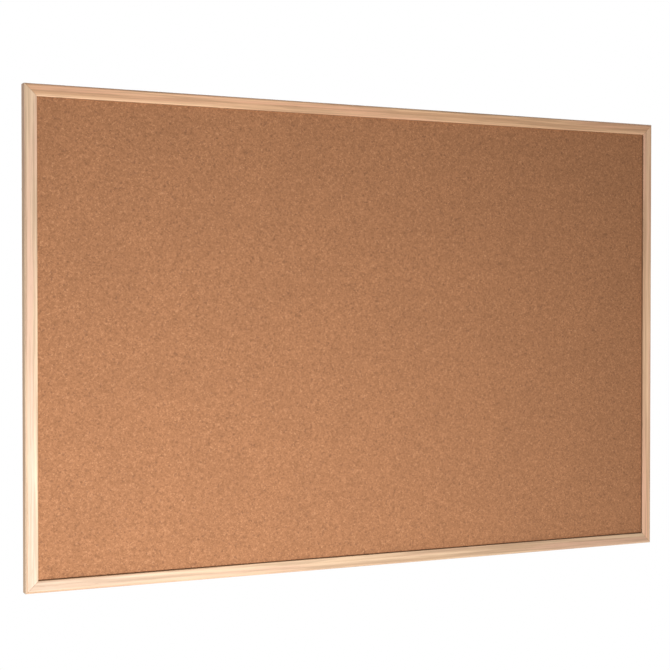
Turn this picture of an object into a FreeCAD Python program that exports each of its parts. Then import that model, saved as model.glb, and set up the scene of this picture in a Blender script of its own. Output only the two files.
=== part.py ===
"""Framed cork bulletin board, 900 x 600 mm, hung by two D-rings on the back of its frame.

Frame of reference: X runs along the width, Z up, and the cork faces -Y. The origin is the middle of the
board in the plane of the wall, y = 0, which the four bumpers touch. All sizes are in millimetres.
"""

import FreeCAD
import Part

import os
from math import cos, pi, radians, sin

V = FreeCAD.Vector

# ---- driving dimensions ---------------------------------------------------------------------------

# The board
board_width = 900.0
board_height = 600.0

# The moulding's section. Its depth is the lip's, the panel's and the inset's together, 16 mm.
rail_face = 15.0
lip_depth = 4.0           # front of the rail to the seat that the cork bears on
rabbet_width = 5.0        # how far the lip covers the panel's edge
face_crown = 0.4          # rise of the front face at its middle
outer_round = 2.8         # outer front edge
sight_round = 1.0         # inner front edge, beside the cork
back_round = 0.6          # outer back edge

# The panel
cork_thickness = 2.0
core_thickness = 7.0
paper_thickness = 0.4
panel_gap = 0.8           # all round, between the panel and the rabbet's wall
panel_inset = 2.6         # back of the rails to the back of the panel
paper_margin = 3.0        # the paper stops this short of the core's edge

# Corner nails, two in each mitre, one driven on top of the other
nail_leg = 3.6            # length of one leg of the V
nail_thickness = 0.7
nail_height = 5.0
nail_half_angle = 62.0    # between one leg and the mitre, in degrees
nail_from_corner = 6.6    # the V's ridge from the frame's outer corner, along X and along Z
nail_countersink = 0.4    # below the back of the rail
nail_stack_gap = 0.2

# Retaining points, pushed into the rabbet's wall behind the panel
point_thickness = 0.6
point_width = 9.0
point_hold = 4.5          # length inside the wood
point_reach = 8.0         # length over the panel's back
point_pitch = 150.0       # widest spacing along a rail
point_end_margin = 60.0   # from the frame's outer corner to the first point

# Hangers
strap_width = 7.0
strap_thickness = 1.0
strap_length = 31.0       # loop axis to the strap's lower end
strap_edge_margin = 0.1   # between the strap and the rabbet's wall
strap_end_round = 2.0
loop_wrap = 250.0         # how far the strap curls round the ring's wire, in degrees
hanger_drop = 120.0       # frame's top edge to the loop's axis
ring_wire = 1.8           # diameter
ring_clearance = 0.15     # round the wire in the loop, and at each side of the loop
ring_bend = 1.4           # centreline radius at the ring's two upper corners
ring_straight = 2.6       # straight run of each side

# Hanger screws
screw_drop = 23.0         # loop axis to the screw
screw_diameter = 3.0
screw_length = 12.0       # under the head
screw_point = 3.0         # length of its tapered point
screw_tip_diameter = 0.4
screw_head_diameter = 5.6
screw_head_height = 1.8
screw_head_round = 0.8
screw_hole_clearance = 0.25   # round the screw in the strap's hole
recess_width = 0.9        # the cross recess in the head
recess_length = 3.2
recess_depth = 1.0

# Wall bumpers
bumper_height = 5.0
bumper_diameter = 8.6
bumper_round = 1.0
bumper_from_corner = 24.0     # frame's outer corner to the bumper's middle, along the stile

# ---- places that follow from the sizes ------------------------------------------------------------

half_width = board_width / 2
half_height = board_height / 2
rail_depth = lip_depth + cork_thickness + core_thickness + paper_thickness + panel_inset
rail_back_y = -bumper_height
rail_front_y = rail_back_y - rail_depth
seat_y = rail_front_y + lip_depth
back_face = rail_face - rabbet_width              # width of the rail's back
cork_back_y = seat_y + cork_thickness
core_back_y = cork_back_y + core_thickness
paper_back_y = core_back_y + paper_thickness
panel_half_width = half_width - back_face - panel_gap
panel_half_height = half_height - back_face - panel_gap

loop_inner = ring_wire / 2 + ring_clearance
loop_outer = loop_inner + strap_thickness
loop_y = rail_back_y + loop_outer
loop_z = half_height - hanger_drop
hanger_x = half_width - back_face + strap_edge_margin + strap_width / 2
strap_face_y = rail_back_y + strap_thickness
bumper_x = half_width - back_face / 2
bumper_z = half_height - bumper_from_corner

mitre_reach = 2 * rail_face                       # the mitre cuts run in this far from the outer corner
mitre_spare = 10.0                                # and this far past the rails' front and back

LEFT, RIGHT = -1, 1


def save(name, shape):
    shape.exportStep("parts/%s.step" % name)


def box(low, high):
    size = V(*high) - V(*low)
    return Part.makeBox(size.x, size.y, size.z, V(*low))


def arc(start, middle, end):
    return Part.Arc(start, middle, end).toShape()


def line(start, end):
    return Part.LineSegment(start, end).toShape()


def polygon_prism(points, direction):
    """A straight-sided solid on the closed outline through the points."""
    wire = Part.makePolygon(list(points) + [points[0]])
    return Part.Face(wire).extrude(direction)


def on_round(centre_u, centre_d, radius, angle):
    """A point on a round edge of the moulding, from its centre, at an angle from the inward direction."""
    return centre_u + radius * cos(radians(angle)), centre_d + radius * sin(radians(angle))


# ---- the frame ------------------------------------------------------------------------------------

def moulding_section(place):
    """The moulding's outline as a face. place(u, d) is u in from the outer edge and d from the back."""
    crown_d = rail_depth - face_crown
    seat_d = rail_depth - lip_depth
    back_start = place(back_round, 0)
    back_end = place(back_face, 0)
    seat_outer = place(back_face, seat_d)
    seat_inner = place(rail_face, seat_d)
    sight_low = place(rail_face, crown_d - sight_round)
    sight_middle = place(*on_round(rail_face - sight_round, crown_d - sight_round, sight_round, 45))
    sight_high = place(rail_face - sight_round, crown_d)
    crown_top = place((rail_face - sight_round + outer_round) / 2, rail_depth)
    outer_high = place(outer_round, crown_d)
    outer_middle = place(*on_round(outer_round, crown_d - outer_round, outer_round, 135))
    outer_low = place(0, crown_d - outer_round)
    side_end = place(0, back_round)
    back_middle = place(*on_round(back_round, back_round, back_round, 225))
    edges = [
        line(back_start, back_end),
        line(back_end, seat_outer),
        line(seat_outer, seat_inner),
        line(seat_inner, sight_low),
        arc(sight_low, sight_middle, sight_high),
        arc(sight_high, crown_top, outer_high),
        arc(outer_high, outer_middle, outer_low),
        line(outer_low, side_end),
        arc(side_end, back_middle, back_start),
    ]
    return Part.Face(Part.Wire(edges))


def mitre_prism(*corners):
    """A solid deeper than the rails, whose slanting sides are the two mitres of one rail."""
    front_y = rail_front_y - mitre_spare
    depth = rail_depth + 2 * mitre_spare
    return polygon_prism([V(x, front_y, z) for x, z in corners], V(0, depth, 0))


def horizontal_rail(side):
    """side is 1 for the top rail and -1 for the bottom one."""
    def place(u, d):
        return V(-half_width, rail_back_y - d, side * (half_height - u))

    bar = moulding_section(place).extrude(V(board_width, 0, 0))
    outline = mitre_prism(
        (-half_width, side * half_height),
        (half_width, side * half_height),
        (half_width - mitre_reach, side * (half_height - mitre_reach)),
        (mitre_reach - half_width, side * (half_height - mitre_reach)),
    )
    return bar.common(outline)


def stile(side):
    """side is -1 for the left stile and 1 for the right one, seen from the front."""
    def place(u, d):
        return V(side * (half_width - u), rail_back_y - d, -half_height)

    bar = moulding_section(place).extrude(V(0, 0, board_height))
    outline = mitre_prism(
        (side * half_width, half_height),
        (side * half_width, -half_height),
        (side * (half_width - mitre_reach), mitre_reach - half_height),
        (side * (half_width - mitre_reach), half_height - mitre_reach),
    )
    return bar.common(outline)


# ---- fasteners of the frame and panel -------------------------------------------------------------

def corner_nail(x_side, z_side, top_y):
    """One V-nail across a mitre, its ridge pointing to the middle of the board."""
    ridge_x = half_width - nail_from_corner
    ridge_z = half_height - nail_from_corner
    outward = pi / 4

    def at(along, across):
        """A point from the ridge: along the mitre towards the outer corner, and across it."""
        x = ridge_x + along * cos(outward) - across * sin(outward)
        z = ridge_z + along * sin(outward) + across * cos(outward)
        return V(x_side * x, top_y, z_side * z)

    lean = radians(nail_half_angle)
    tip_along = nail_leg * cos(lean)
    tip_across = nail_leg * sin(lean)
    skin = nail_thickness / sin(lean)
    points = [
        at(0, 0),
        at(tip_along, tip_across),
        at(tip_along + skin, tip_across),
        at(skin, 0),
        at(tip_along + skin, -tip_across),
        at(tip_along, -tip_across),
    ]
    return polygon_prism(points, V(0, -nail_height, 0))


def corner_nails(x_side, z_side):
    first_y = rail_back_y - nail_countersink
    second_y = first_y - nail_height - nail_stack_gap
    return [corner_nail(x_side, z_side, y) for y in (first_y, second_y)]


def point_places(rail_length):
    """Where the retaining points sit along a rail, measured from its middle."""
    span = rail_length - 2 * point_end_margin
    gaps = max(1, -int(-span // point_pitch))
    return [-span / 2 + span * i / gaps for i in range(gaps + 1)]


def retaining_point(place):
    """One flat steel point. place(u, s) is the point u in from the frame's outer edge, s along the rail."""
    tip = back_face - point_hold
    shoulder = back_face - point_hold / 2
    end = back_face + point_reach
    half = point_width / 2
    corners = [
        place(tip, 0),
        place(shoulder, half),
        place(end - half / 2, half),
        place(end, half / 2),
        place(end, -half / 2),
        place(end - half / 2, -half),
        place(shoulder, -half),
    ]
    return polygon_prism(corners, V(0, point_thickness, 0))


def horizontal_points(side):
    return [
        retaining_point(lambda u, s, x=x: V(x + s, paper_back_y, side * (half_height - u)))
        for x in point_places(board_width)
    ]


def stile_points(side):
    return [
        retaining_point(lambda u, s, z=z: V(side * (half_width - u), paper_back_y, z + s))
        for z in point_places(board_height)
    ]


# ---- the hangers ----------------------------------------------------------------------------------

def screw_blank(x, z, radius):
    """The screw's shank with its tapered point, driven towards the front."""
    start = V(x, strap_face_y, z)
    towards_front = V(0, -1, 0)
    shank = Part.makeCylinder(radius, screw_length - screw_point, start, towards_front)
    tip_start = start + towards_front * (screw_length - screw_point)
    tip = Part.makeCone(radius, screw_tip_diameter / 2, screw_point, tip_start, towards_front)
    return shank.fuse(tip).removeSplitter()


def hanger_screw(side):
    x = side * hanger_x
    z = loop_z - screw_drop
    head = Part.makeCylinder(screw_head_diameter / 2, screw_head_height, V(x, strap_face_y, z), V(0, 1, 0))
    top_y = strap_face_y + screw_head_height
    rim = [e for e in head.Edges if e.BoundBox.YMin > top_y - 0.01 and e.Closed]
    head = head.makeFillet(screw_head_round, rim)
    for half_x, half_z in ((recess_length / 2, recess_width / 2), (recess_width / 2, recess_length / 2)):
        slot = box((x - half_x, top_y - recess_depth, z - half_z), (x + half_x, top_y + 1, z + half_z))
        head = head.cut(slot)
    return head.fuse(screw_blank(x, z, screw_diameter / 2)).removeSplitter()


def loop_point(radius, angle, x):
    """A point on the loop, from the wood side (0 degrees) over the top and round the ring's wire."""
    turn = radians(angle)
    return V(x, loop_y - radius * cos(turn), loop_z + radius * sin(turn))


def hanger_strap(side):
    """The strap: a flat plate whose upper end curls round the straight bar of the ring."""
    start_x = side * hanger_x - strap_width / 2
    end_z = loop_z - strap_length
    outside = [loop_point(loop_outer, loop_wrap * share, start_x) for share in (0, 0.5, 1)]
    inside = [loop_point(loop_inner, loop_wrap * share, start_x) for share in (1, 0.5, 0)]
    plate_top = V(start_x, strap_face_y, end_z)
    plate_bottom = V(start_x, rail_back_y, end_z)
    edges = [
        arc(*outside),
        line(outside[-1], inside[0]),
        arc(*inside),
        line(inside[-1], plate_top),
        line(plate_top, plate_bottom),
        line(plate_bottom, outside[0]),
    ]
    strap = Part.Face(Part.Wire(edges)).extrude(V(strap_width, 0, 0))
    lower_corners = [
        e for e in strap.Edges
        if abs(e.BoundBox.ZMax - end_z) < 0.01 and abs(e.BoundBox.YLength - strap_thickness) < 0.01
    ]
    strap = strap.makeFillet(strap_end_round, lower_corners)
    hole_radius = screw_diameter / 2 + screw_hole_clearance
    hole_start = V(side * hanger_x, rail_back_y - 1, loop_z - screw_drop)
    return strap.cut(Part.makeCylinder(hole_radius, strap_thickness + 2, hole_start, V(0, 1, 0)))


def hanger_ring(side):
    """The D-ring, hanging straight down from its bar."""
    bar_half = strap_width / 2 + ring_clearance
    half = bar_half + ring_bend
    middle_x = side * hanger_x
    side_top = -ring_bend
    side_end = side_top - ring_straight
    diagonal = ring_bend * (1 - cos(pi / 4))

    def at(x, z):
        return V(middle_x + x, loop_y, loop_z + z)

    path = Part.Wire([
        line(at(0, 0), at(bar_half, 0)),
        arc(at(bar_half, 0), at(half - diagonal, -diagonal), at(half, side_top)),
        line(at(half, side_top), at(half, side_end)),
        arc(at(half, side_end), at(0, side_end - half), at(-half, side_end)),
        line(at(-half, side_end), at(-half, side_top)),
        arc(at(-half, side_top), at(-half + diagonal, -diagonal), at(-bar_half, 0)),
        line(at(-bar_half, 0), at(0, 0)),
    ])
    wire_section = Part.Wire(Part.makeCircle(ring_wire / 2, at(0, 0), V(1, 0, 0)))
    ring = path.makePipeShell([wire_section], True, False)
    expected = pi * (ring_wire / 2) ** 2 * path.Length
    print("ring", side, "volume", round(ring.Volume, 2), "expected", round(expected, 2))
    return ring


# ---- the rest -------------------------------------------------------------------------------------

def panel_layer(front_y, back_y, margin=0.0):
    half_x = panel_half_width - margin
    half_z = panel_half_height - margin
    return box((-half_x, front_y, -half_z), (half_x, back_y, half_z))


def wall_bumper(x_side, z_side):
    bumper = Part.makeCylinder(
        bumper_diameter / 2, bumper_height, V(x_side * bumper_x, rail_back_y, z_side * bumper_z), V(0, 1, 0)
    )
    rim = [e for e in bumper.Edges if e.BoundBox.YMin > -0.01 and e.Closed]
    return bumper.makeFillet(bumper_round, rim)


def main():
    os.makedirs("parts", exist_ok=True)
    rails = {
        "top_rail": horizontal_rail(1),
        "bottom_rail": horizontal_rail(-1),
        "left_stile": stile(LEFT),
        "right_stile": stile(RIGHT),
    }
    points = {
        "retaining_points_top": horizontal_points(1),
        "retaining_points_bottom": horizontal_points(-1),
        "retaining_points_left": stile_points(LEFT),
        "retaining_points_right": stile_points(RIGHT),
    }
    corners = {"top": 1, "bottom": -1}
    sides = {"left": LEFT, "right": RIGHT}
    nails = {
        "corner_nails_%s_%s" % (high, wide): corner_nails(sides[wide], corners[high])
        for high in corners for wide in sides
    }

    # Everything driven into the wood gets its own exact slot or hole.
    embedded = [solid for group in list(points.values()) + list(nails.values()) for solid in group]
    for side in sides.values():
        embedded.append(screw_blank(side * hanger_x, loop_z - screw_drop, screw_diameter / 2))
    for name, rail in rails.items():
        near = [solid for solid in embedded if solid.BoundBox.intersect(rail.BoundBox)]
        save(name, rail.cut(near))

    for name, group in list(points.items()) + list(nails.items()):
        save(name, Part.makeCompound(group))

    save("cork_sheet", panel_layer(seat_y, cork_back_y))
    save("fibreboard_core", panel_layer(cork_back_y, core_back_y))
    save("backing_paper", panel_layer(core_back_y, paper_back_y, paper_margin))

    for wide, side in sides.items():
        save("hanger_strap_" + wide, hanger_strap(side))
        save("hanger_ring_" + wide, hanger_ring(side))
        save("hanger_screw_" + wide, hanger_screw(side))
        for high, level in corners.items():
            save("wall_bumper_%s_%s" % (high, wide), wall_bumper(side, level))


main()
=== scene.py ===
"""The looks of a framed cork board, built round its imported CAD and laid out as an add-on."""

from collections import Counter
from math import pi, radians

import bpy
from bpy.props import FloatProperty, FloatVectorProperty, IntProperty, PointerProperty
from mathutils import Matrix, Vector


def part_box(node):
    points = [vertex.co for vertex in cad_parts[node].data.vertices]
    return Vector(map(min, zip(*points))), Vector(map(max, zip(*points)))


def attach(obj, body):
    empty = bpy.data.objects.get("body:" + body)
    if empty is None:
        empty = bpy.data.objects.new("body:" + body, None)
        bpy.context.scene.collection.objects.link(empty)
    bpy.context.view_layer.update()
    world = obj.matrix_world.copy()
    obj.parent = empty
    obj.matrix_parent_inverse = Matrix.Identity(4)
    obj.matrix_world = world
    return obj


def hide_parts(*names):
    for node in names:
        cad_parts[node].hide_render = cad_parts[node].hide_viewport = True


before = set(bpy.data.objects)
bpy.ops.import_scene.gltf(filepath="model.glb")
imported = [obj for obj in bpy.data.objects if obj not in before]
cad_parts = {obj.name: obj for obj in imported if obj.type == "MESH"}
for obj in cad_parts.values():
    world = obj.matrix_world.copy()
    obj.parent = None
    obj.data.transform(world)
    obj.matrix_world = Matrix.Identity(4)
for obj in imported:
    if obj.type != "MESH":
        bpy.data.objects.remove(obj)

bl_info = {
    "name": "Cork bulletin board",
    "version": (1, 0, 0),
    "blender": (4, 5, 0),
    "location": "3D View > Sidebar > Cork board",
    "description": "Builds a framed cork board with its hangers, bumpers and stage",
    "category": "Object",
}

MM = 0.001
HAIR = 0.01 * MM    # slack for two places that are meant to be the same
BOARD = "board"
SIDES = {"left": -1, "right": 1}
LEVELS = {"top": 1, "bottom": -1}


def length(label, description, millimetres):
    """A length property whose default is given in millimetres."""
    metres = millimetres * MM
    return FloatProperty(name=label, description=description, default=metres, min=0, unit="LENGTH")


def angle(label, description, degrees):
    """An angle property whose default is given in degrees."""
    turned = radians(degrees)
    return FloatProperty(name=label, description=description, default=turned, subtype="ANGLE")


def colour(label, description, value):
    """A colour property in linear red, green and blue."""
    return FloatVectorProperty(
        name=label, description=description, default=value, size=3, min=0, max=1, subtype="COLOR"
    )


def power(label, description, watts):
    """A lamp's power in watts."""
    return FloatProperty(name=label, description=description, default=watts, min=0, unit="POWER")


# ---- sizes and colours a user may change ------------------------------------------------------

class MouldingSettings(bpy.types.PropertyGroup):
    """The section of the frame's moulding and the cut of its corners."""
    rabbet: length("Rabbet", "How far the lip covers the panel's edge", 5.0)
    outer_round: length("Outer round", "Radius of the outer front edge", 2.8)
    sight_round: length("Sight round", "Radius of the front edge beside the cork", 1.0)
    back_round: length("Back round", "Radius of the outer back edge", 0.6)
    arris: length("Arris", "Sanded width of the sharp edges", 0.25)
    crown: length("Crown", "Rise of the front face at its middle", 0.4)
    mitre_ease: length("Mitre ease", "Rounding of the two cut ends where they meet", 0.16)


class PanelSettings(bpy.types.PropertyGroup):
    """The cork and the paper behind it."""
    cell: length("Cell", "Size of the sheets' mesh cells", 7.0)
    cork_wave: length("Cork wave", "Height of the glued cork's slight waves", 0.12)
    paper_wave: length("Paper wave", "Height of the backing paper's waves", 0.34)
    wave_size: length("Wave size", "Distance from one wave to the next", 90.0)
    pitch: length("Point pitch", "Widest spacing of the retaining points", 150.0)
    end_margin: length("End margin", "Frame's outer corner to the first retaining point", 60.0)
    point_hold: length("Point hold", "Length of a retaining point inside the wood", 4.5)
    point_width: length("Point width", "Width of a retaining point", 9.0)
    point_frame: length("Point frame", "Width of the flat rim round the raised panel", 1.7)
    point_step: length("Point step", "Width of the slope up to the raised panel", 0.35)
    point_rise: length("Point rise", "Height of the raised panel", 0.22)


class HangerSettings(bpy.types.PropertyGroup):
    """The D-ring hangers and their screws."""
    wire: length("Ring wire", "Diameter of the ring's wire", 1.8)
    clearance: length("Clearance", "Round the wire in the strap's loop", 0.15)
    strap: length("Strap thickness", "Thickness of the strap", 1.0)
    bend: length("Ring bend", "Centreline radius at the ring's upper corners", 1.4)
    straight: length("Ring side", "Straight run of each side of the ring", 2.6)
    wrap: angle("Loop wrap", "How far the strap curls round the wire", 250)
    strap_corner: length("Strap corner", "Radius of the strap's lower corners", 2.0)
    shank: length("Screw shank", "Diameter of the screw", 3.0)
    point: length("Screw point", "Length of the screw's taper", 3.0)
    tip: length("Screw tip", "Diameter of the point's end", 0.42)
    hole_clearance: length("Hole clearance", "Round the screw in the strap's hole", 0.25)
    head_height: length("Head height", "Height of the screw's head", 1.8)
    head_round: length("Head round", "Rounding of the head's rim", 0.8)
    recess_width: length("Recess width", "Width of one arm of the cross recess", 0.9)
    recess_length: length("Recess length", "Length of the cross recess", 3.2)
    recess_depth: length("Recess depth", "Depth of the cross recess", 1.0)
    sides: IntProperty(name="Sides", description="Sides of the round hardware", default=32, min=8)


class BumperSettings(bpy.types.PropertyGroup):
    """The rubber bumpers behind the corners."""
    foot: length("Foot", "Thickness of the foot that is stuck to the wood", 0.8)
    waist: length("Waist", "Wood to the narrow place above the foot", 1.3)
    rim: length("Rim", "Rounding of the outer end", 1.0)
    land: length("Land", "Flat ring that bears on the wall", 0.5)
    slope: length("Dish slope", "Width of the slope down to the dish", 0.9)
    dish: length("Dish", "Depth of the dished end", 0.35)


class FinishSettings(bpy.types.PropertyGroup):
    """Colours of the finishes."""
    pine: colour("Pine", "Ground colour of the frame's wood", (0.77, 0.475, 0.280))
    pine_pale: colour("Pale streaks", "Palest streaks of the wood", (0.87, 0.580, 0.355))
    pine_rose: colour("Rose streaks", "Pinkish streaks of the wood", (0.81, 0.470, 0.310))
    pine_dark: colour("Pine pores", "Short dark ticks in the wood", (0.34, 0.19, 0.10))
    cork: colour("Cork", "Middle colour of the cork", (0.402, 0.175, 0.075))
    cork_dark: colour("Cork bark", "Dark bark specks in the cork", (0.20, 0.085, 0.040))
    cork_pale: colour("Pale cork", "Palest grains of the cork", (0.54, 0.255, 0.118))
    kraft: colour("Kraft paper", "Colour of the backing paper", (0.47, 0.31, 0.185))
    fibre: colour("Fibreboard", "Colour of the core's edge", (0.30, 0.20, 0.12))
    zinc: colour("Zinc", "Colour of the plated sheet steel", (0.56, 0.57, 0.58))
    nickel: colour("Nickel", "Colour of the rings' plated wire", (0.66, 0.63, 0.58))
    nail: colour("Nail steel", "Colour of the V-nails' plain steel", (0.40, 0.39, 0.38))
    rubber: colour("Rubber", "Colour of the bumpers", (0.030, 0.030, 0.032))
    dust: colour("Dust", "Dust on the rubber", (0.085, 0.082, 0.078))


class StageSettings(bpy.types.PropertyGroup):
    """Camera, lights and floor."""
    camera: FloatVectorProperty(
        name="Camera", description="Camera's place from the middle of the wall side",
        default=(-0.8176, -1.6834, 0.0321), subtype="TRANSLATION", unit="LENGTH",
    )
    turn: angle("Turn", "How far the camera turns to the right", 24.77)
    tilt: angle("Tilt", "How far the camera looks down", 0.934)
    lens: FloatProperty(name="Lens", description="Focal length", default=76.37, unit="CAMERA")
    key: power("Key light", "Power of the low front light", 12.8)
    side: power("Side light", "Power of the light on the left", 12.0)
    rim: power("Rim light", "Power of the light above the right end", 9.0)
    back: power("Back light", "Power of the light behind", 42.0)
    fill: FloatProperty(
        name="Fill", description="Strength of the light from all round", default=0.15, min=0
    )
    floor_drop: length("Floor drop", "Floor below the middle of the board", 1400.0)


# ---- shader arithmetic ------------------------------------------------------------------------

class Value:
    """A number that varies over a surface. Ordinary arithmetic on it adds the maths nodes."""

    def __init__(self, shader, socket):
        self.shader = shader
        self.socket = socket

    def maths(self, operation, *numbers):
        inputs = dict(enumerate(numbers))
        return self.shader.add("ShaderNodeMath", {"operation": operation}, inputs)

    def __add__(self, other):
        return self.maths("ADD", self, other)

    def __sub__(self, other):
        return self.maths("SUBTRACT", self, other)

    def __rsub__(self, other):
        return self.maths("SUBTRACT", other, self)

    def __mul__(self, other):
        return self.maths("MULTIPLY", self, other)

    def __abs__(self):
        return self.maths("ABSOLUTE", self)

    __radd__ = __add__
    __rmul__ = __mul__


class Nodes:
    """A node tree, and one way to add any node to it."""

    def __init__(self, tree):
        self.tree = tree

    def feed(self, socket, value):
        """Sets a socket, or links a varying value to it."""
        if isinstance(value, Value):
            self.tree.links.new(value.socket, socket)
        else:
            socket.default_value = value

    def add(self, kind, settings=None, inputs=None, output=0):
        """Adds a node: settings first, then the sockets' values or links. Returns one output."""
        node = self.tree.nodes.new(kind)
        settings = dict(settings or {})
        stops = settings.pop("stops", None)
        for setting, value in settings.items():
            setattr(node, setting, value)
        if stops:
            ramp = node.color_ramp.elements
            while len(ramp) < len(stops):
                ramp.new(0.5)
            for element, (place, tint) in zip(ramp, stops):
                element.position = place
                element.color = (*tint, 1)
        for socket, value in (inputs or {}).items():
            self.feed(node.inputs[socket], value)
        return Value(self, node.outputs[output])


class Shader(Nodes):
    """One material with its Principled shader, and short ways to colour and roughen it."""

    def __init__(self, name, base, roughness, **constants):
        self.material = bpy.data.materials.new(name)
        self.material.use_nodes = True
        super().__init__(self.material.node_tree)
        self.surface = self.tree.nodes["Principled BSDF"]
        self.material.diffuse_color = (*base, 1)
        self.set("Base Color", (*base, 1))
        self.set("Roughness", roughness)
        for socket, value in constants.items():
            self.set(socket.replace("_", " "), value)

    def set(self, socket, value):
        """Sets or links one of the surface's sockets."""
        self.feed(self.surface.inputs[socket], value)

    def place(self, stretch=(1, 1, 1), offset=(0, 0, 0)):
        """Object coordinates, stretched per axis and shifted."""
        here = self.add("ShaderNodeTexCoord", output="Object")
        inputs = {"Vector": here, "Scale": stretch, "Location": offset}
        return self.add("ShaderNodeMapping", {}, inputs)

    def noise(self, where, scale, detail=3.0, roughness=0.5, distortion=0.0):
        """Soft noise from 0 to 1, scale features to the metre."""
        inputs = {"Vector": where, "Scale": scale, "Detail": detail, "Roughness": roughness}
        return self.add("ShaderNodeTexNoise", {}, {**inputs, "Distortion": distortion})

    def cells(self, where, scale, feature="F1", output="Distance"):
        """A pattern of cells, scale of them to the metre."""
        inputs = {"Vector": where, "Scale": scale}
        return self.add("ShaderNodeTexVoronoi", {"feature": feature}, inputs, output)

    def between(self, value, low, high, to_low=0.0, to_high=1.0):
        """value from low..high carried to to_low..to_high, soft at the ends and held outside."""
        settings = {"interpolation_type": "SMOOTHSTEP"}
        inputs = {"Value": value, 1: low, 2: high, 3: to_low, 4: to_high}
        return self.add("ShaderNodeMapRange", settings, inputs)

    def warp(self, where, scale, amount):
        """The same coordinates pushed about by up to half of amount."""
        inputs = {"Vector": where, "Scale": scale, "Detail": 1.0}
        push = self.add("ShaderNodeTexNoise", {}, inputs, "Color")
        centred = self.vector("SUBTRACT", push, (0.5, 0.5, 0.5))
        return self.vector("MULTIPLY_ADD", centred, [amount] * 3, where)

    def vector(self, operation, *vectors):
        return self.add("ShaderNodeVectorMath", {"operation": operation}, dict(enumerate(vectors)))

    def ramp(self, value, stops):
        return self.add("ShaderNodeValToRGB", {"stops": stops}, {"Fac": value})

    def blend(self, share, first, second):
        """Two colours mixed, with share of the second."""
        inputs = {0: share, 6: opaque(first), 7: opaque(second)}
        return self.add("ShaderNodeMix", {"data_type": "RGBA"}, inputs, 2)

    def split(self, value, axis):
        """One coordinate of a vector: 0, 1 or 2."""
        return self.add("ShaderNodeSeparateXYZ", {}, {0: value}, axis)

    def bump(self, height, strength, depth):
        """Fine relief: height from 0 to 1 stands for depth."""
        inputs = {"Height": height, "Strength": strength, "Distance": depth}
        self.set("Normal", self.add("ShaderNodeBump", {}, inputs))


def opaque(tint):
    """A colour with its alpha added, or a varying colour as it is."""
    return tint if isinstance(tint, Value) else (*tint, 1)


def scaled(tint, share):
    """A darker or lighter colour of the same hue."""
    return tuple(channel * share for channel in tint)


# ---- finishes ---------------------------------------------------------------------------------

def pine_finish(name, along, seed, tone_and_light):
    """Pale wood under a satin coat. along is 0 if its grain runs in X and 2 if it runs in Z."""
    finish = bpy.context.scene.board_finish
    tints = finish.pine, finish.pine_pale, finish.pine_rose
    # Each rail's colours are scaled: partly the wood's own tone, partly painted light and shade
    pine, pale, rose = (Vector(tint) * Vector(tone_and_light) for tint in tints)
    dark = tuple(finish.pine_dark)
    # A dark tone for the mitre's glue line, and for the painted shade on the lip's inner side
    glue_and_shade = scaled(dark, 0.8)
    shader = Shader(name, pine, 0.46, Coat_Roughness=0.35, Specular_IOR_Level=0.3)

    def grained(across, lengthwise):
        """Coordinates in features to the metre: across the grain and along it."""
        stretch = [across] * 3
        stretch[along] = lengthwise
        return shader.place(stretch, (seed * 7.3, seed * 3.1, seed * 5.7))

    boards = shader.noise(grained(160, 3.2), 1, 2, 0.5, 0.35)
    streaks = shader.noise(grained(430, 9), 1, 3, 0.55, 0.2)
    fibres = shader.noise(grained(2100, 42), 1, 2, 0.6)
    tinted = shader.noise(grained(95, 5), 1, 1)
    pores = shader.noise(grained(1500, 75), 1, 1)
    bands = shader.between(boards, 0.36, 0.64)
    ground = shader.blend(bands, scaled(pine, 0.84), pale)
    ground = shader.blend(shader.between(tinted, 0.45, 0.68, 0.0, 0.75), ground, rose)
    darker = shader.between(streaks, 0.45, 0.64, 0.0, 0.58)
    ground = shader.blend(darker, ground, scaled(pine, 0.64))
    hairs = shader.between(fibres, 0.45, 0.75, 0.0, 0.22)
    ground = shader.blend(hairs, ground, scaled(pine, 0.60))
    ticks = shader.between(pores, 0.66, 0.76) * shader.between(boards, 0.40, 0.55, 0.5, 0.0)
    ground = shader.blend(ticks, ground, dark)

    # The glue line, where the distance in from the outer side equals the one in from the next side
    low, high = board_outline()
    spot = shader.place()
    in_from_side = high.x - abs(shader.split(spot, 0))
    in_from_end = high.z - abs(shader.split(spot, 2))
    from_mitre = abs(in_from_side - in_from_end)
    joint = shader.between(from_mitre, 0.15 * MM, 0.65 * MM, 0.36, 0.0)
    ground = shader.blend(joint, ground, glue_and_shade)

    # Painted shade: the lip's inner side, down in the recess beside the cork, is darkened as if in
    # shadow
    inset = in_from_side.maths("MINIMUM", in_from_side, in_from_end)
    face = high.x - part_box("right_stile")[0].x
    depth = shader.split(spot, 1) - low.y
    at_sight_edge = shader.between(inset, face - 0.5 * MM, face - 0.1 * MM)
    below_face = shader.between(depth, 0.4 * MM, 1.2 * MM)
    ground = shader.blend(at_sight_edge * below_face * 0.85, ground, glue_and_shade)
    shader.set("Base Color", ground)
    shader.set("Coat Weight", shader.between(fibres, 0.3, 0.7, 0.24, 0.12))
    shader.set("Roughness", shader.between(streaks, 0.3, 0.7, 0.42, 0.54))
    shader.bump(fibres * 0.5 + streaks * 0.35 - ticks * 0.9, 0.35, 0.15 * MM)
    return shader.material


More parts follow.
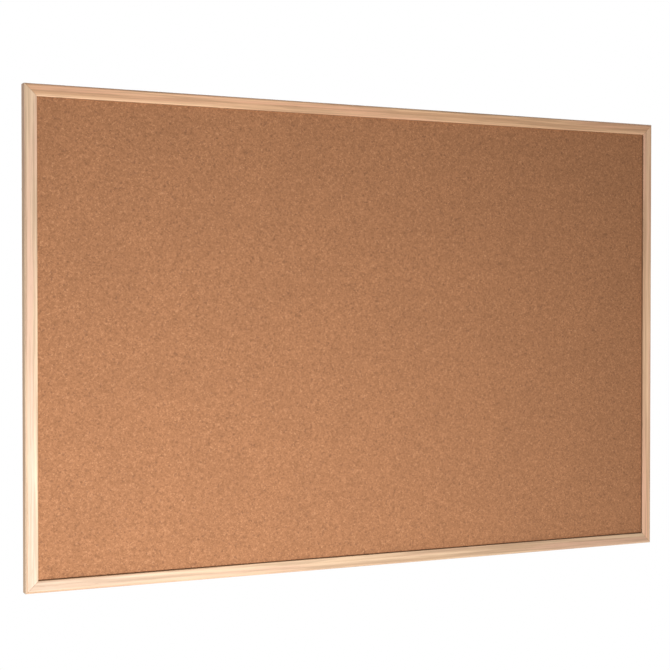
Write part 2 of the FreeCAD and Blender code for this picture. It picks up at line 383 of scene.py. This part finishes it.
def cork_finish():
    """Fine-grained agglomerated cork: pressed granules with scattered bark."""
    finish = bpy.context.scene.board_finish
    cork, dark, pale = tuple(finish.cork), tuple(finish.cork_dark), tuple(finish.cork_pale)
    shader = Shader("cork", cork, 0.88, Specular_IOR_Level=0.45)
    here = shader.warp(shader.place(), 900, 1.6 * MM)
    bent = shader.noise(here, 900, 1)
    granule = shader.split(shader.cells(here, 640, output="Color"), 0)
    larger = shader.split(shader.cells(here, 330, output="Color"), 1)
    speck = shader.split(shader.cells(here, 480, output="Color"), 2)
    seam = shader.cells(here, 640, "DISTANCE_TO_EDGE")
    lightness = granule * 0.62 + larger * 0.26 + bent * 0.24
    ground = shader.ramp(lightness, [
        (0.10, scaled(cork, 0.68)),
        (0.34, scaled(cork, 0.88)),
        (0.56, cork),
        (0.80, scaled(cork, 1.15)),
        (0.98, pale),
    ])
    bark = shader.between(speck, 0.94, 0.97, 0.0, 0.50)
    ground = shader.blend(bark, ground, dark)
    ground = shader.blend(shader.between(seam, 0.0, 0.09, 0.22, 0.0), ground, scaled(dark, 0.9))
    cloud = shader.noise(here, 16, 3, 0.6)
    ground = shader.blend(shader.between(cloud, 0.35, 0.65, 0.0, 0.09), ground, scaled(cork, 0.60))
    shader.set("Base Color", ground)
    shader.set("Roughness", shader.between(lightness, 0.2, 0.9, 0.93, 0.78))
    shader.bump(shader.between(seam, 0.0, 0.2) * 0.8 + bent * 0.5 - bark * 0.5, 0.28, 0.2 * MM)
    return shader.material


def paper_finish():
    """Brown kraft paper with long fibres, rib lines and a few shives."""
    kraft = tuple(bpy.context.scene.board_finish.kraft)
    shader = Shader("kraft_paper", kraft, 0.78)
    here = shader.place()
    ribs = shader.noise(shader.place((60, 60, 1400)), 1, 2)
    fibres = shader.noise(here, 420, 4, 0.7, 1.2)
    clouds = shader.noise(here, 11, 3)
    shives = shader.noise(shader.place((120, 900, 900), (3, 1, 4)), 1, 1)
    cloudy = shader.between(clouds, 0.30, 0.70)
    ground = shader.blend(cloudy, scaled(kraft, 0.96), scaled(kraft, 1.04))
    for share, tint in (
        (shader.between(fibres, 0.45, 0.70, 0.0, 0.28), 0.66),
        (shader.between(ribs, 0.45, 0.70, 0.0, 0.22), 1.30),
        (shader.between(shives, 0.74, 0.80, 0.0, 0.6), 0.45),
    ):
        ground = shader.blend(share, ground, scaled(kraft, tint))
    shader.set("Base Color", ground)
    shader.set("Roughness", shader.between(fibres, 0.3, 0.7, 0.70, 0.86))
    shader.bump(fibres * 0.6 + ribs * 0.4, 0.3, 0.1 * MM)
    return shader.material


def fibre_finish():
    """Soft fibreboard: matted brown fibres and flecks."""
    fibre = tuple(bpy.context.scene.board_finish.fibre)
    shader = Shader("fibreboard", fibre, 0.9)
    here = shader.place()
    mat = shader.noise(here, 700, 5, 0.75, 1.5)
    flecks = shader.noise(here, 1500, 1)
    matted = shader.between(mat, 0.35, 0.65)
    ground = shader.blend(matted, scaled(fibre, 0.72), scaled(fibre, 1.28))
    flecked = shader.between(flecks, 0.64, 0.74, 0.0, 0.7)
    ground = shader.blend(flecked, ground, scaled(fibre, 0.35))
    shader.set("Base Color", ground)
    shader.set("Roughness", shader.between(mat, 0.3, 0.7, 0.95, 0.84))
    shader.bump(mat, 0.6, 0.3 * MM)
    return shader.material


def metal_finish(name, tint, roughness, spangle, scratches):
    """Plated steel with a faint crystal pattern, dull patches and fine scratches."""
    shader = Shader(name, tint, roughness, Metallic=1.0)
    here = shader.place()
    crystals = shader.split(shader.cells(here, 420, output="Color"), 0)
    dull = shader.noise(here, 260, 3, 0.6)
    marks = shader.noise(shader.place((900, 900, 5200), (2, 5, 1)), 1, 2)
    ground = shader.blend(crystals * spangle, tint, scaled(tint, 0.62))
    ground = shader.blend(shader.between(dull, 0.5, 0.75, 0.0, 0.35), ground, scaled(tint, 0.70))
    shader.set("Base Color", ground)
    low, high = roughness * 0.8, min(1.0, roughness * 1.5)
    shader.set("Roughness", shader.between(dull + crystals * 0.2, 0.35, 0.80, low, high))
    shader.bump(marks, scratches, 0.03 * MM)
    return shader.material


def rubber_finish():
    """Moulded black rubber with a little dust."""
    finish = bpy.context.scene.board_finish
    rubber = tuple(finish.rubber)
    shader = Shader("rubber", rubber, 0.62)
    here = shader.place()
    dusty = shader.noise(here, 330, 3, 0.6)
    texture = shader.noise(here, 2600, 2)
    ground = shader.blend(shader.between(dusty, 0.45, 0.75, 0.0, 0.6), rubber, tuple(finish.dust))
    shader.set("Base Color", ground)
    shader.set("Roughness", shader.between(dusty, 0.3, 0.7, 0.52, 0.78))
    shader.bump(texture, 0.35, 0.08 * MM)
    return shader.material


# ---- modelling helpers ------------------------------------------------------------------------

def board_outline():
    """Lowest and highest corners of the wooden frame."""
    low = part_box("left_stile")[0]
    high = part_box("right_stile")[1]
    return low, high


def link(obj):
    bpy.context.scene.collection.objects.link(obj)


def pick(*pieces):
    """Selects only these pieces, the first of them active."""
    bpy.ops.object.select_all(action="DESELECT")
    for piece in pieces:
        piece.select_set(True)
    bpy.context.view_layer.objects.active = pieces[0]


def start(name):
    """Names the piece that an operator has just added or joined."""
    piece = bpy.context.active_object
    piece.name = name
    piece.data.name = name
    return piece


def add_block(name, low, high):
    """A cube stretched between two corners, its place in its mesh."""
    low, high = Vector(low), Vector(high)
    bpy.ops.mesh.primitive_cube_add(size=1, location=(low + high) / 2, scale=high - low)
    bpy.ops.object.transform_apply(location=True, rotation=True, scale=True)
    return start(name)


def choose(piece, mode, wanted):
    """In edit mode, selects the vertices, edges or faces whose points all pass wanted(point)."""
    bpy.ops.mesh.select_mode(type=mode)
    bpy.ops.mesh.select_all(action="DESELECT")
    bpy.ops.object.mode_set(mode="OBJECT")
    mesh = piece.data
    for element in {"VERT": mesh.vertices, "EDGE": mesh.edges, "FACE": mesh.polygons}[mode]:
        if mode == "VERT":
            element.select = bool(wanted(element.co))
        else:
            element.select = all(wanted(mesh.vertices[i].co) for i in element.vertices)
    bpy.ops.object.mode_set(mode="EDIT")


def near(first, second):
    """True for two places closer than any edge of a piece is long."""
    return abs(first - second) < 2 * HAIR


def cut_along(point, normal, trim=False):
    """Cuts the selected faces by a plane. With trim, the normal's side goes, closed by a face."""
    across = Vector(normal).normalized()
    bpy.ops.mesh.bisect(
        plane_co=point, plane_no=across, clear_outer=trim, use_fill=trim, threshold=0.001 * MM
    )


def apply_modifier(piece, kind, **settings):
    pick(piece)
    modifier = piece.modifiers.new(kind.lower(), kind)
    for setting, value in settings.items():
        setattr(modifier, setting, value)
    bpy.ops.object.modifier_apply(modifier=modifier.name)


def narrow(share, centre):
    """Draws what is selected in, towards the line along Y through the centre."""
    bpy.ops.transform.resize(value=(share, 1, share), center_override=centre)


def ease_edges(piece, width, segments):
    """Takes the sharpness off every edge of more than 50 degrees."""
    apply_modifier(
        piece, "BEVEL", width=width, segments=segments,
        limit_method="ANGLE", angle_limit=radians(50),
    )


def cut_out(piece, cutter):
    """Cuts the cutter's shape out of the piece, and discards the cutter."""
    apply_modifier(piece, "BOOLEAN", object=cutter, operation="DIFFERENCE", solver="EXACT")
    bpy.data.objects.remove(cutter)
    # Faces with holes are divided, so that merging doubles can't lose them
    apply_modifier(piece, "TRIANGULATE")


def clean(piece, sharp=40):
    """Merges doubles, points faces outwards and smooths edges of less than sharp degrees."""
    pick(piece)
    bpy.ops.object.mode_set(mode="EDIT")
    bpy.ops.mesh.select_all(action="SELECT")
    bpy.ops.mesh.remove_doubles(threshold=0.002 * MM)
    bpy.ops.mesh.normals_make_consistent(inside=False)
    bpy.ops.object.mode_set(mode="OBJECT")
    bpy.ops.object.shade_smooth_by_angle(angle=radians(sharp))
    apply_modifier(piece, "WEIGHTED_NORMAL", keep_sharp=True, weight=100)


def copy_of(piece, name):
    """A copy with a mesh of its own."""
    twin = piece.copy()
    twin.data = piece.data.copy()
    twin.name = name
    twin.data.name = name
    link(twin)
    return twin


def settle(piece):
    """Moves a piece's place, turn and size into its mesh."""
    pick(piece)
    bpy.ops.object.transform_apply(location=True, rotation=True, scale=True)


def join(pieces, name):
    """Joins pieces into one object, their shells as they are."""
    pick(*pieces)
    bpy.ops.object.join()
    return start(name)


def finish_piece(piece, node, material, body=BOARD):
    """Gives a closed piece its material and its body, and hides the CAD node it stands for."""
    uses = Counter(key for face in piece.data.polygons for key in face.edge_keys)
    if not uses or set(uses.values()) != {2}:
        raise RuntimeError("%s isn't a closed shape" % piece.name)
    piece.data.materials.clear()
    piece.data.materials.append(material)
    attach(piece, body)
    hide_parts(node)


def corner_names(kind):
    """The names of the four nodes of one kind, one at each corner."""
    return ["%s_%s_%s" % (kind, level, side) for level in LEVELS for side in SIDES]


def dress_node(node, material):
    """Gives a CAD node, whose shape stays as it is, its finish."""
    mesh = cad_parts[node].data
    mesh.materials.clear()
    mesh.materials.append(material)


# ---- the frame --------------------------------------------------------------------------------

def mould_rail(name, run, reach):
    """One mitred rail, run long, as it lies along the top. Its outer side is reach high."""
    size = bpy.context.scene.board_moulding
    low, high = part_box("top_rail")
    back_y = high.y
    seat_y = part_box("cork_sheet")[0].y
    face = high.z - low.z
    sight = reach - face
    wall = sight + size.rabbet
    edge_y = low.y + size.crown
    piece = add_block(name, (-run / 2, edge_y, wall), (run / 2, back_y, reach))
    bpy.ops.object.mode_set(mode="EDIT")

    # The lip: the part in front of the seat grows inwards
    bpy.ops.mesh.select_all(action="SELECT")
    cut_along((0, seat_y, 0), (0, 1, 0))
    choose(piece, "FACE", lambda p: near(p.z, wall) and p.y < seat_y + HAIR)
    bpy.ops.mesh.extrude_region_move(TRANSFORM_OT_translate={"value": (0, 0, -size.rabbet)})

    # The crown of the face, in rows across it
    def on_face(p):
        return p.y < edge_y + HAIR

    rows = 8
    first, last = reach - 1.02 * size.outer_round, sight + 1.02 * size.sight_round
    for row in range(rows + 1):
        height = first + (last - first) * row / rows
        choose(piece, "FACE", on_face)
        cut_along((0, 0, height), (0, 0, 1))
        choose(piece, "VERT", lambda p: near(p.z, height) and near(p.y, edge_y))
        from_middle = 2 * (height - sight) / face - 1
        bpy.ops.transform.translate(value=(0, size.crown * (from_middle ** 2 - 1), 0))

    # Rounded and sanded long edges
    def bevel_line(y, z, radius, segments):
        choose(piece, "EDGE", lambda p: near(p.y, y) and near(p.z, z))
        bpy.ops.mesh.bevel(offset=radius, segments=segments, affect="EDGES")

    bevel_line(edge_y, reach, size.outer_round, 9)
    bevel_line(edge_y, sight, size.sight_round, 5)
    bevel_line(back_y, reach, size.back_round, 4)
    bevel_line(back_y, wall, size.arris, 2)
    bevel_line(seat_y, sight, size.arris, 2)

    # The two mitres, each eased where its cut shows across the face
    for side in SIDES.values():
        corner = (side * run / 2, 0, reach)
        bpy.ops.mesh.select_all(action="SELECT")
        cut_along(corner, (side, 0, -1), trim=True)
        choose(piece, "EDGE", lambda p: near(side * p.x - run / 2, p.z - reach) and on_face(p))
        bpy.ops.mesh.bevel(offset=size.mitre_ease, segments=2, affect="EDGES")
    bpy.ops.object.mode_set(mode="OBJECT")
    return piece


class BOARD_OT_mouldings(bpy.types.Operator):
    """Builds the four mitred rails, with the slots of the corner nails in their backs"""
    bl_idname = "corkboard.mouldings"
    bl_label = "Mitred frame"

    def execute(self, context):
        low, high = board_outline()
        width, height = high.x - low.x, high.z - low.z
        # In quarter turns from the top: length, reach, axis of the grain, and how this rail's red,
        # green
        # and blue are scaled: partly the wood's own tone, partly painted light and shade, such as
        # the painted highlight that pales and blues the left stile and the painted shade on the
        # bottom rail
        rails = {
            "top_rail": (width, high.z, 0, (1.02, 0.95, 0.90)),
            "right_stile": (height, high.x, 2, (1.08, 1.06, 1.08)),
            "bottom_rail": (width, -low.z, 0, (0.81, 0.84, 0.87)),
            "left_stile": (height, -low.x, 2, (0.96, 1.04, 1.13)),
        }
        nails = [copy_of(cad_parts[node], "slots") for node in corner_names("corner_nails")]
        slots = join(nails, "nail_slots")
        slots.location.y = 0.8 * MM    # so that they come out of the rails' backs
        settle(slots)
        clean(slots)
        for turn, (node, (run, reach, along, tone_and_light)) in enumerate(rails.items()):
            piece = mould_rail(node + "_moulding", run, reach)
            piece.rotation_euler.y = turn * pi / 2
            settle(piece)
            cut_out(piece, copy_of(slots, "slots_to_cut"))
            clean(piece, 32)
            pine = pine_finish("pine_" + node, along, turn + 1, tone_and_light)
            finish_piece(piece, node, pine)
        bpy.data.objects.remove(slots)
        return {"FINISHED"}


class BOARD_OT_corner_nails(bpy.types.Operator):
    """Gives the V-nails in the mitres their plain steel"""
    bl_idname = "corkboard.corner_nails"
    bl_label = "Corner nails"

    def execute(self, context):
        nail = tuple(context.scene.board_finish.nail)
        steel = metal_finish("nail_steel", nail, 0.42, 0.25, 0.2)
        for node in corner_names("corner_nails"):
            dress_node(node, steel)
        return {"FINISHED"}


# ---- the panel --------------------------------------------------------------------------------

def add_sheet(name, node, shown_side, wave, flat_edge):
    """A sheet with the node's box, its shown side a fine mesh with waves inside a flat edge."""
    size = bpy.context.scene.board_panel
    low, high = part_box(node)
    shown_y, hidden_y = (low.y, high.y) if shown_side < 0 else (high.y, low.y)
    across, tall = high.x - low.x, high.z - low.z
    bpy.ops.mesh.primitive_grid_add(
        x_subdivisions=round(across / size.cell), y_subdivisions=round(tall / size.cell), size=1,
        location=(0, shown_y, 0), rotation=(pi / 2, 0, 0),
    )
    piece = start(name)
    piece.scale = (across, tall, 1)
    settle(piece)

    # Waves: only into the sheet's own space, so that it never stands proud of its box
    inside = piece.vertex_groups.new(name="waves")
    for vertex in piece.data.vertices:
        edge = min(high.x - abs(vertex.co.x), high.z - abs(vertex.co.z))
        inside.add([vertex.index], max(0.0, min(1.0, edge / flat_edge - 1)), "REPLACE")
    texture = bpy.data.textures.new(name + "_waves", "CLOUDS")
    texture.noise_scale = size.wave_size
    texture.noise_depth = 1
    apply_modifier(
        piece, "DISPLACE", texture=texture, vertex_group="waves", direction="Y",
        strength=wave, mid_level=1.0 if shown_side > 0 else 0.0, texture_coords="LOCAL",
    )
    bpy.data.textures.remove(texture)

    # The edge, and the hidden side
    bpy.ops.object.mode_set(mode="EDIT")
    choose(piece, "EDGE", lambda p: near(abs(p.x), high.x) or near(abs(p.z), high.z))
    bpy.ops.mesh.extrude_edges_move(TRANSFORM_OT_translate={"value": (0, hidden_y - shown_y, 0)})
    bpy.ops.mesh.edge_face_add()
    bpy.ops.object.mode_set(mode="OBJECT")
    clean(piece, 50)
    return piece


class BOARD_OT_cork(bpy.types.Operator):
    """Lays the cork sheet on the core"""
    bl_idname = "corkboard.cork"
    bl_label = "Cork sheet"

    def execute(self, context):
        size = context.scene.board_panel
        piece = add_sheet("cork_surface", "cork_sheet", -1, size.cork_wave, 8 * MM)
        finish_piece(piece, "cork_sheet", cork_finish())
        return {"FINISHED"}


class BOARD_OT_core(bpy.types.Operator):
    """Gives the fibreboard core its finish"""
    bl_idname = "corkboard.core"
    bl_label = "Fibreboard core"

    def execute(self, context):
        dress_node("fibreboard_core", fibre_finish())
        return {"FINISHED"}


class BOARD_OT_backing_paper(bpy.types.Operator):
    """Glues the kraft paper to the back of the core"""
    bl_idname = "corkboard.backing_paper"
    bl_label = "Backing paper"

    def execute(self, context):
        size = context.scene.board_panel
        piece = add_sheet("kraft_backing", "backing_paper", 1, size.paper_wave, 12 * MM)
        finish_piece(piece, "backing_paper", paper_finish())
        return {"FINISHED"}


class BOARD_OT_retaining_points(bpy.types.Operator):
    """Builds the stamped steel points that hold the panel in each rail"""
    bl_idname = "corkboard.retaining_points"
    bl_label = "Retaining points"

    def execute(self, context):
        size = context.scene.board_panel
        outline = board_outline()[1]
        steel = metal_finish("point_zinc", tuple(context.scene.board_finish.zinc), 0.38, 0.5, 0.3)
        for turn, rail in enumerate(("top", "right", "bottom", "left")):
            half_run = outline.z if rail in SIDES else outline.x
            node = "retaining_points_" + rail
            box_low, box_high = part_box(node)
            across = 0 if rail in SIDES else 2
            outer = max(abs(box_low[across]), abs(box_high[across]))
            reach = box_high[across] - box_low[across]
            first = self.stamp(box_low.y, box_high.y, outer, reach)
            span = 2 * (half_run - size.end_margin)
            gaps = max(1, -int(-span // size.pitch))
            row = []
            for place in range(gaps + 1):
                twin = copy_of(first, node)
                twin.location.x = span * (place / gaps - 0.5)
                settle(twin)
                row.append(twin)
            bpy.data.objects.remove(first)
            piece = join(row, "steel_points_" + rail)
            piece.rotation_euler.y = turn * pi / 2
            settle(piece)
            finish_piece(piece, node, steel)
        return {"FINISHED"}

    def stamp(self, low_y, high_y, outer, reach):
        """One point as it sits in the middle of the top rail, its tip at the height outer."""
        size = bpy.context.scene.board_panel
        half = size.point_width / 2
        piece = add_block("point", (-half, low_y, outer - reach), (half, high_y, outer))
        bpy.ops.object.mode_set(mode="EDIT")
        for side in SIDES.values():
            bpy.ops.mesh.select_all(action="SELECT")
            cut_along((0, 0, outer), (side * size.point_hold / 2, 0, half), trim=True)
            corner = (side * half, 0, outer - reach + half / 2)
            bpy.ops.mesh.select_all(action="SELECT")
            cut_along(corner, (side, 0, -1), trim=True)
        # A raised panel that stiffens the free end
        choose(piece, "FACE", lambda p: near(p.y, high_y))
        bpy.ops.mesh.inset(thickness=size.point_frame)
        bpy.ops.mesh.inset(thickness=size.point_step, depth=size.point_rise)
        bpy.ops.object.mode_set(mode="OBJECT")
        ease_edges(piece, 0.08 * MM, 1)
        clean(piece, 30)
        return piece


# ---- the hangers ------------------------------------------------------------------------------

def hanger_centre(side):
    """The point on the loop's axis in the middle of one strap."""
    size = bpy.context.scene.board_hanger
    low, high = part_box("hanger_strap_" + side)
    outer = size.wire / 2 + size.clearance + size.strap
    return Vector(((low.x + high.x) / 2, low.y + outer, high.z - outer))


class BOARD_OT_hanger_straps(bpy.types.Operator):
    """Builds the two straps, each curled round the bar of its ring"""
    bl_idname = "corkboard.hanger_straps"
    bl_label = "Hanger straps"

    def execute(self, context):
        size = context.scene.board_hanger
        zinc = tuple(context.scene.board_finish.zinc)
        steel = metal_finish("strap_zinc", zinc, 0.30, 0.55, 0.35)
        for side in SIDES:
            node = "hanger_strap_" + side
            low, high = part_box(node)
            centre = hanger_centre(side)
            plate_y = low.y + size.strap
            piece = add_block(node + "_plate", low, (high.x, plate_y, centre.z))
            bpy.ops.object.mode_set(mode="EDIT")
            for corner_x in (low.x, high.x):
                choose(piece, "EDGE", lambda p: near(p.x, corner_x) and near(p.z, low.z))
                bpy.ops.mesh.bevel(offset=size.strap_corner, segments=6, affect="EDGES")
            choose(piece, "FACE", lambda p: near(p.z, centre.z))
            bpy.ops.mesh.spin(steps=22, angle=size.wrap, center=centre, axis=(1, 0, 0))
            bpy.ops.object.mode_set(mode="OBJECT")
            clean(piece)
            ease_edges(piece, 0.13 * MM, 2)
            screw_low, screw_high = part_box("hanger_screw_" + side)
            radius = size.shank / 2 + size.hole_clearance
            middle = (screw_low + screw_high) / 2
            cut_out(piece, add_round("hole", radius, low.y - MM, plate_y + MM, middle))
            clean(piece, 35)
            finish_piece(piece, node, steel)
        return {"FINISHED"}


def add_round(name, radius, low_y, high_y, centre):
    """A cylinder along Y."""
    bpy.ops.mesh.primitive_cylinder_add(
        vertices=bpy.context.scene.board_hanger.sides, radius=radius, depth=high_y - low_y,
        location=(centre.x, (low_y + high_y) / 2, centre.z), rotation=(pi / 2, 0, 0),
    )
    bpy.ops.object.transform_apply(location=True, rotation=True, scale=True)
    return start(name)


class BOARD_OT_hanger_rings(bpy.types.Operator):
    """Bends the two D-rings from round wire"""
    bl_idname = "corkboard.hanger_rings"
    bl_label = "D-rings"

    def execute(self, context):
        nickel = tuple(context.scene.board_finish.nickel)
        plated = metal_finish("ring_nickel", nickel, 0.20, 0.12, 0.3)
        for side in SIDES:
            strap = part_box("hanger_strap_" + side)
            piece = self.bend_wire("d_ring_" + side, hanger_centre(side), strap)
            finish_piece(piece, "hanger_ring_" + side, plated, "ring_" + side)
        return {"FINISHED"}

    def bend_wire(self, name, centre, strap):
        """The wire's section, extruded along each straight and spun round each bend."""
        size = bpy.context.scene.board_hanger
        bar = (strap[1].x - strap[0].x) / 2 + size.clearance
        bpy.ops.mesh.primitive_circle_add(
            vertices=size.sides // 2, radius=size.wire / 2,
            location=centre, rotation=(0, pi / 2, 0),
        )
        bpy.ops.object.transform_apply(location=True, rotation=True, scale=True)
        piece = start(name)
        bpy.ops.object.mode_set(mode="EDIT")
        bpy.ops.mesh.select_all(action="SELECT")

        def straight(x, z):
            bpy.ops.mesh.extrude_edges_move(TRANSFORM_OT_translate={"value": (x, 0, z)})

        def bend(x, z, sweep, steps):
            middle = centre + Vector((x, 0, z))
            bpy.ops.mesh.spin(steps=steps, angle=sweep, center=middle, axis=(0, -1, 0))

        straight(bar, 0)
        bend(bar, -size.bend, pi / 2, 8)
        straight(0, -size.straight)
        bend(0, -size.bend - size.straight, pi, 28)
        straight(0, size.straight)
        bend(-bar, -size.bend, pi / 2, 8)
        straight(bar, 0)
        bpy.ops.object.mode_set(mode="OBJECT")
        clean(piece, 60)
        return piece


class BOARD_OT_hanger_screws(bpy.types.Operator):
    """Builds the two screws with their cross recesses"""
    bl_idname = "corkboard.hanger_screws"
    bl_label = "Hanger screws"

    def execute(self, context):
        zinc = scaled(context.scene.board_finish.zinc, 1.05)
        steel = metal_finish("screw_zinc", zinc, 0.28, 0.2, 0.3)
        for side in SIDES:
            node = "hanger_screw_" + side
            piece = self.turn(node + "_body", *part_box(node))
            finish_piece(piece, node, steel)
        return {"FINISHED"}

    def turn(self, name, low, high):
        """A head with a rounded rim, a shank and a point, and the cross cut out of the head."""
        size = bpy.context.scene.board_hanger
        centre = (low + high) / 2
        under_y = high.y - size.head_height
        piece = add_round(name, (high.x - low.x) / 2, under_y, high.y, centre)
        bpy.ops.object.mode_set(mode="EDIT")
        choose(piece, "EDGE", lambda p: near(p.y, high.y))
        bpy.ops.mesh.bevel(offset=size.head_round, segments=6, affect="EDGES")
        choose(piece, "FACE", lambda p: near(p.y, under_y))
        bpy.ops.mesh.inset(thickness=(high.x - low.x) / 2 - size.shank / 2)
        shank_length = under_y - low.y - size.point
        bpy.ops.mesh.extrude_region_move(TRANSFORM_OT_translate={"value": (0, -shank_length, 0)})
        bpy.ops.mesh.extrude_region_move(TRANSFORM_OT_translate={"value": (0, -size.point, 0)})
        narrow(size.tip / size.shank, centre)
        bpy.ops.object.mode_set(mode="OBJECT")
        arm, width = size.recess_length / 2, size.recess_width / 2
        for half_x, half_z in ((arm, width), (width, arm)):
            slot_low = (centre.x - half_x, high.y - size.recess_depth, centre.z - half_z)
            slot_high = (centre.x + half_x, high.y + MM, centre.z + half_z)
            cut_out(piece, add_block("recess", slot_low, slot_high))
        clean(piece, 35)
        return piece


# ---- the bumpers ------------------------------------------------------------------------------

class BOARD_OT_bumpers(bpy.types.Operator):
    """Sticks a rubber bumper behind each end of the stiles"""
    bl_idname = "corkboard.bumpers"
    bl_label = "Wall bumpers"

    def execute(self, context):
        rubber = rubber_finish()
        for node in corner_names("wall_bumper"):
            piece = self.press(node + "_rubber", *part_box(node))
            finish_piece(piece, node, rubber)
        return {"FINISHED"}

    def press(self, name, low, high):
        """A stub with a rounded rim, a dished end and a waist above its sticky foot."""
        size = bpy.context.scene.board_bumper
        centre = (low + high) / 2
        piece = add_round(name, (high.x - low.x) / 2, low.y, high.y, centre)
        bpy.ops.object.mode_set(mode="EDIT")
        for height in (size.foot, size.waist):
            bpy.ops.mesh.select_all(action="SELECT")
            cut_along((0, low.y + height, 0), (0, 1, 0))
        choose(piece, "EDGE", lambda p: near(p.y, low.y + size.waist))
        narrow(0.95, centre)
        choose(piece, "EDGE", lambda p: near(p.y, high.y))
        narrow(0.93, centre)
        bpy.ops.mesh.bevel(offset=size.rim, segments=5, affect="EDGES")
        choose(piece, "FACE", lambda p: near(p.y, high.y))
        bpy.ops.mesh.inset(thickness=size.land)
        bpy.ops.mesh.inset(thickness=size.slope, depth=-size.dish)
        bpy.ops.object.mode_set(mode="OBJECT")
        clean(piece, 35)
        return piece


# ---- the stage --------------------------------------------------------------------------------

def add_lamp(name, watts, size, place, target, spread=180):
    """A round area light, size across, that faces its target. spread is in degrees."""
    lamp = bpy.data.lights.new(name, "AREA")
    lamp.shape = "DISK"
    lamp.energy = watts
    lamp.size = size
    lamp.spread = radians(spread)
    obj = bpy.data.objects.new(name, lamp)
    obj.location = place
    obj.rotation_euler = (Vector(target) - Vector(place)).to_track_quat("-Z", "Y").to_euler()
    link(obj)


class BOARD_OT_stage(bpy.types.Operator):
    """Sets up the floor, the soft studio light and the camera"""
    bl_idname = "corkboard.stage"
    bl_label = "Stage"

    def execute(self, context):
        stage = context.scene.board_stage
        low, high = board_outline()
        self.floor(-stage.floor_drop)
        self.surroundings(stage.fill)
        lit = Vector((low.x * 0.95, low.y, low.z * 0.9))
        add_lamp("key", stage.key, 0.5, (-0.16, low.y - 1.75, -0.68), lit, 100)
        add_lamp("side", stage.side, 0.8, (-1.7, 0.25, -0.6), (low.x, 0, -0.2))
        add_lamp("rim", stage.rim, 0.8, (1.6, 0.25, 1.1), (high.x, 0, high.z / 2))
        add_lamp("back", stage.back, 2.0, (0.3, 2.2, 0.9), (0, 0, -0.2))
        self.camera(stage)
        context.scene.view_settings.view_transform = "Standard"
        return {"FINISHED"}

    def floor(self, height):
        """A pale floor, lightly lit from within, so that it stays pale all over."""
        bpy.ops.mesh.primitive_plane_add(size=4.4, location=(0, 0.2, height))
        floor = start("floor")
        pale = (0.86, 0.86, 0.85)
        paint = Shader("floor_paint", pale, 0.7, Emission_Color=(*pale, 1), Emission_Strength=0.4)
        paint.set("Roughness", paint.between(paint.noise(paint.place(), 12), 0.3, 0.7, 0.65, 0.8))
        floor.data.materials.append(paint.material)

    def surroundings(self, fill):
        """A plain white backdrop that gives a soft light of its own strength."""
        world = bpy.data.worlds.new("studio")
        world.use_nodes = True
        sky = Nodes(world.node_tree)
        white = (1, 1, 1, 1)
        light = sky.add("ShaderNodeBackground", {}, {"Color": white, "Strength": fill})
        backdrop = sky.add("ShaderNodeBackground", {}, {"Color": white, "Strength": 1})
        looked_at = sky.add("ShaderNodeLightPath", output="Is Camera Ray")
        both = sky.add("ShaderNodeMixShader", {}, {0: looked_at, 1: light, 2: backdrop})
        sky.feed(world.node_tree.nodes["World Output"].inputs["Surface"], both)
        bpy.context.scene.world = world

    def camera(self, stage):
        lens = bpy.data.cameras.new("camera")
        lens.lens = stage.lens
        camera = bpy.data.objects.new("camera", lens)
        link(camera)
        camera.location = stage.camera
        camera.rotation_euler = (pi / 2 - stage.tilt, 0, -stage.turn)
        bpy.context.scene.camera = camera


# ---- the add-on -------------------------------------------------------------------------------

class BOARD_PT_panel(bpy.types.Panel):
    """Lists the steps that build the board"""
    bl_idname = "BOARD_PT_panel"
    bl_label = "Cork board"
    bl_space_type = "VIEW_3D"
    bl_region_type = "UI"
    bl_category = "Cork board"

    def draw(self, context):
        for step in STEPS:
            self.layout.operator(step.bl_idname)
        for group in SETTINGS:
            box = self.layout.box()
            for prop in SETTINGS[group].__annotations__:
                box.prop(getattr(context.scene, group), prop)


SETTINGS = {
    "board_moulding": MouldingSettings,
    "board_panel": PanelSettings,
    "board_hanger": HangerSettings,
    "board_bumper": BumperSettings,
    "board_finish": FinishSettings,
    "board_stage": StageSettings,
}
STEPS = (
    BOARD_OT_stage, BOARD_OT_mouldings, BOARD_OT_corner_nails, BOARD_OT_cork, BOARD_OT_core,
    BOARD_OT_backing_paper, BOARD_OT_retaining_points, BOARD_OT_hanger_straps,
    BOARD_OT_hanger_rings, BOARD_OT_hanger_screws, BOARD_OT_bumpers,
)
CLASSES = (*SETTINGS.values(), *STEPS, BOARD_PT_panel)


def register():
    for cls in CLASSES:
        bpy.utils.register_class(cls)
    for group, cls in SETTINGS.items():
        setattr(bpy.types.Scene, group, PointerProperty(type=cls))


def unregister():
    for group in SETTINGS:
        delattr(bpy.types.Scene, group)
    for cls in reversed(CLASSES):
        bpy.utils.unregister_class(cls)


def main():
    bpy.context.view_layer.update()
    register()
    for step in STEPS:
        family, name = step.bl_idname.split(".")
        getattr(getattr(bpy.ops, family), name)()


if __name__ == "__main__":
    main()
